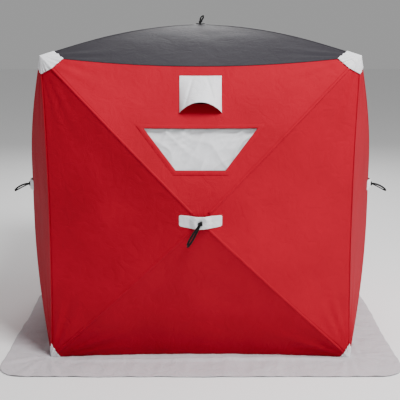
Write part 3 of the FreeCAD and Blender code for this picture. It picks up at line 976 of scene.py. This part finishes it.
def skirt_sheet(columns=720, rows=44):
    """The whole skirt as one closed strip, from the foot of the walls to its outer edge."""
    def place(i, j):
        turn = 4 * i / columns
        foot, _, _, along = wall_foot(turn)
        level = Vector((foot.x, foot.y, 0))
        angle = 2 * math.pi * i / columns
        share = j / rows
        # The outer edge runs square to the wall, and fans out at the corners.
        corner = abs(2 * along - 1) ** 7
        wall_out = face_axes(WALLS[int(turn) % 4])[2]
        aim = (wall_out * (1 - corner) + level.normalized() * corner).normalized()
        wander = sum(width * around(angle, scale, 4) for width, scale in EDGE_WANDER)
        reach = HALF + SKIRT_WIDTH
        low, high = 0.0, 2.0
        for _ in range(30):
            middle = (low + high) / 2
            spot = level + aim * middle
            inside = spot.length < rounded_square(spot.normalized(), reach, SKIRT_CORNER)
            low, high = (middle, high) if inside else (low, middle)
        spread = low + wander
        spot = level + aim * spread * share
        near = math.exp(-((share * spread) / FOOT_FADE) ** 2)
        height = SKIRT_LIFT + foot.z * near
        for count, phase, tall in SKIRT_FOLDS:
            sway = 0.5 * math.sin(3 * angle + phase)
            crest = 0.5 + 0.5 * math.sin(count * 4 * angle + phase + sway + 2.2 * share)
            strength = 0.45 + 0.9 * max(0.0, around(angle, 3, count))
            height += tall * MM * strength * crest**2 * math.sin(math.pi * min(1.0, 0.12 + share * 0.72))
        height += corner_creases(spot) + wall_crease(along, share * spread)
        height += SKIRT_CRUMPLE * (1 + noise.noise(spot * 12)) * min(1.0, share * 5)
        return Vector((spot.x, spot.y, height)), (angle * 1.3, share * spread)

    return face_outwards(grid(columns, rows, place, closed=True), lambda point: Vector((0, 0, 1)))


snow_skirt = piece_from("snow_skirt_cloth", skirt_sheet(), SKIRT_OXFORD)
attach(snow_skirt, "root")
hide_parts(*[f"snow_skirt_{wall}" for wall in WALLS])

# %% [markdown]
# **Door.** A triangle of the back wall opens along a zip on two of its sides and swings on the third.
# The zip is a coil on two black tapes, one on the wall and one on the door. Its slider and pull are on
# the outside, near the foot of the hinge side.

# %% Door and zip
HINGE_LINE = sorted(DOOR, key=lambda p: -abs(p.x))[:2]
CLEAR_OF_HINGE = 30 * MM
TAPE_THICK, OVER_SKIN = 0.9 * MM, 1.6 * MM
WALL_TAPE, DOOR_TAPE = 16.5 * MM, 16 * MM


def hinge_distance(point):
    """Distance from a point to the line that the door turns on."""
    run = (HINGE_LINE[1] - HINGE_LINE[0]).normalized()
    away = point - CENTRE - HINGE_LINE[0]
    return (away - run * away.dot(run)).length


def back_sheet(inside, outside, lift, across=84, along=72):
    """Piece of the back wall round the door. A tape stops short of the hinge side, which has no zip."""
    made = keep_region(triangle_grid("back", "left", lift, across, along), inside=inside, outside=outside)
    if outside:
        near = [f for f in made.faces if hinge_distance(f.calc_center_median()) < CLEAR_OF_HINGE]
        bmesh.ops.delete(made, geom=near, context="FACES")
    return made


door_cloth = piece_from("door_cloth", back_sheet(DOOR, None, 0.0), RED_OXFORD)
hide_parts("door")
outer, inner = grown(DOOR, 20 * MM), grown(DOOR, 3.5 * MM)
wall_tape = piece_from("zip_tape_wall", back_sheet(outer, inner, OVER_SKIN), MESH_CLOTH, TAPE_THICK)
follow_hub(wall_tape, "back")
inner = grown(DOOR, -DOOR_TAPE)
door_tape = piece_from("zip_tape_door", back_sheet(DOOR, inner, OVER_SKIN), MESH_CLOTH, TAPE_THICK)


def zip_line(grow, lift):
    """Line round the door's two long sides, from the top of its hinge side to the foot."""
    corners = grown(DOOR, grow)
    hinge_side = sorted(corners, key=lambda p: -abs(p.x))[:2]
    tip = next(p for p in corners if all((p - other).length > 1e-6 for other in hinge_side))
    top, foot = sorted(hinge_side, key=lambda p: -p.z)
    points = [top.lerp(tip, k / 60) for k in range(60)] + [tip.lerp(foot, k / 60) for k in range(61)]
    return [toward("back", point, lift) for point in points]


zip_run = zip_line(6.5 * MM, 4.4 * MM)
coil = piece_from("zip_coil", sweep(zip_run, circle(2.6 * MM, 8)), ZIP_NYLON, thick=0)
sewn(coil, "back", "hub_plastic")
for made in (door_cloth, door_tape):
    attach(made, "door")
    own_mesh(made)


def bevelled_block(name, place, size, width):
    """Small moulded block with rounded edges, placed on the back wall's cloth."""
    bpy.ops.mesh.primitive_cube_add(size=1, location=place)
    made = bpy.context.active_object
    made.name = made.data.name = name
    made.scale = size
    bpy.ops.object.transform_apply(location=True, rotation=True, scale=True)
    rounding = made.modifiers.new("rounding", "BEVEL")
    rounding.width, rounding.segments = width, 3
    bpy.ops.object.modifier_apply(modifier=rounding.name)
    bpy.ops.object.shade_smooth_by_angle(angle=math.radians(40))
    made.data.materials.append(ZIP_NYLON)
    sewn(made, "back", "hub_plastic")


SLIDER = Vector((12, 6, 20)) * MM
PULL = Vector((7, 2, 38)) * MM
slider_place = zip_run[-8] + Vector((0, 4.5 * MM, 0))
bevelled_block("zip_slider", slider_place, SLIDER, 2 * MM)
pull_place = slider_place + Vector((0, 3.2 * MM, -SLIDER.z / 2 - PULL.z / 2 + 6 * MM))
bevelled_block("zip_pull", pull_place, PULL, 0.8 * MM)

# %% [markdown]
# **Pull straps.** Each hub is pulled out by a loop of black webbing, which is tied in a knot in front of
# the hub's cap. The front and back loops hang down and lean to one side. Those on the
# sides stand out and droop, and the one on the roof lies folded in a small tuft.

# %% Pull straps
WEB_WIDTH, WEB_THICK = 12 * MM, 2.2 * MM


def loop_points(length, gap, reach, side, droop, steps=56):
    """Closed loop of webbing: out along a direction, bent over at its end, and back."""
    points = []
    for k in range(steps):
        angle = 2 * math.pi * k / steps
        run = 0.5 - 0.5 * math.cos(angle)
        spread = math.sin(angle) * (run**0.7) * (1 - 0.25 * run)
        sag = Vector((0, 0, -droop * run**2))
        points.append(reach * (length * run) + side * (gap * spread) + sag)
    return points


def knot(size):
    """Overhand knot, as the closed curve of a trefoil."""
    points = []
    for k in range(48):
        t = 2 * math.pi * k / 48
        x, y = math.sin(t) + 2 * math.sin(2 * t), math.cos(t) - 2 * math.cos(2 * t)
        points.append(Vector((x, y, -math.sin(3 * t))) * size / 3)
    return points


def flat_outline(width, thick):
    """Rounded flat section of webbing."""
    half, edge = width / 2 - thick / 2, thick / 2
    corners = [(half, -edge), (half + edge, 0), (half, edge), (0, edge * 1.1)]
    return corners + [(-half, edge), (-half - edge, 0), (-half, -edge), (0, -edge * 1.1)]


def pull_strap(face, start, reach, side, length, gap, droop, twist, knot_size=13 * MM):
    """Loop of webbing with a knot at its root, riding on a face's hub."""
    reach, side = reach.normalized(), side.normalized()
    loop = [start + point for point in loop_points(length, gap, reach, side, droop)]
    turns = [math.radians(twist + 20 * math.sin(2 * math.pi * k / len(loop))) for k in range(len(loop))]
    strap = piece_from(f"pull_strap_{face}_loop",
                       sweep(loop, flat_outline(WEB_WIDTH, WEB_THICK), True, turns), WEBBING, thick=0)
    turned = Matrix((side, reach, side.cross(reach))).transposed()
    lump = [start + turned @ point for point in knot(knot_size)]
    tied = piece_from(f"pull_strap_{face}_knot", sweep(lump, circle(4.6 * MM, 8), True), WEBBING, thick=0)
    for made in (strap, tied):
        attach(made, "hub_" + face)
    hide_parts("pull_strap_" + face)


def cap_top(face, lift):
    """Point over the middle of a hub's cap."""
    return CENTRE + face_axes(face)[2] * (PEAK[face] + CAP_ABOVE_PEAK + lift)


for face in ("front", "back"):
    right, up, out = face_axes(face)
    lean = math.radians(30)
    hang = -up * math.cos(lean) - right * math.sin(lean) - out * 0.02
    pull_strap(face, cap_top(face, 11 * MM) - up * 4 * MM, hang, up.cross(out) * math.cos(lean) - up * 0.4,
               length=0.146, gap=13 * MM, droop=0.004, twist=90, knot_size=11 * MM)
for face in ("left", "right"):
    right, up, out = face_axes(face)
    pull_strap(face, cap_top(face, 10 * MM), out - up * 0.18, up,
               length=0.112, gap=13 * MM, droop=0.030, twist=55)
pull_strap("roof", cap_top("roof", 9 * MM), Vector((0.35, -0.1, 1)), Vector((1, 0, 0.2)),
           length=0.046, gap=15 * MM, droop=0.006, twist=50, knot_size=9 * MM)
print("pull straps", len(FACES))

# %% [markdown]
# **Floor.** A plain pale floor is there for the picture only. It lies half a millimetre down, so that it
# doesn't meet the pieces that stand on the ground.

# %% Floor
bpy.ops.mesh.primitive_plane_add(size=60, location=(0, 0, -0.0005))
floor = bpy.context.active_object
floor.name = "floor"
floor.data.materials.append(new_material("studio_floor", Base_Color=(0.92, 0.92, 0.92, 1), Roughness=0.9)[0])
print("stage", floor.name)

# %% [markdown]
# **Lights.** The strongest stands high in front and to the right, and is large enough for soft shadows.
# Two weaker ones fill the sides, one behind brings out the roof's edge, and a white world does the rest.


# %% Lights
def area_light(name, place, target, size, power):
    """Square soft light at a place, aimed at a target."""
    bpy.ops.object.light_add(type="AREA", location=place)
    lamp = bpy.context.active_object
    lamp.name = name
    lamp.data.size = size
    lamp.data.energy = power
    lamp.rotation_euler = (Vector(target) - Vector(place)).to_track_quat("-Z", "Y").to_euler()
    return lamp


area_light("key_above_right", (1.9, -3.3, 5.8), (0, 0, 1.2), size=1.8, power=560)
area_light("fill_right", (5.2, -1.6, 2.2), (0, 0, 1.0), size=2.0, power=90)
area_light("fill_left", (-5.5, -2.5, 2.6), (0, 0, 0.8), size=3.0, power=8)
area_light("back_rim", (0, 5.5, 4.5), (0, 0, 1.2), size=3.0, power=200)
world = bpy.data.worlds.new("studio")
world.use_nodes = True
world.node_tree.nodes["Background"].inputs["Color"].default_value = (1, 1, 1, 1)
world.node_tree.nodes["Background"].inputs["Strength"].default_value = 0.36
bpy.context.scene.world = world

# %% [markdown]
# **Camera.** It stands less than six metres in front of the shelter's middle, about level with the top
# of the roof, and looks down through a long lens.

# %% Camera
LOOK_DOWN = 12.08
bpy.ops.object.camera_add(location=(-0.003, -5.673, 2.0), rotation=(math.radians(90 - LOOK_DOWN), 0, 0))
camera = bpy.context.active_object
camera.data.lens = 75.6
camera.data.sensor_width = 36
bpy.context.scene.camera = camera
print("camera at", [round(v, 3) for v in camera.location])
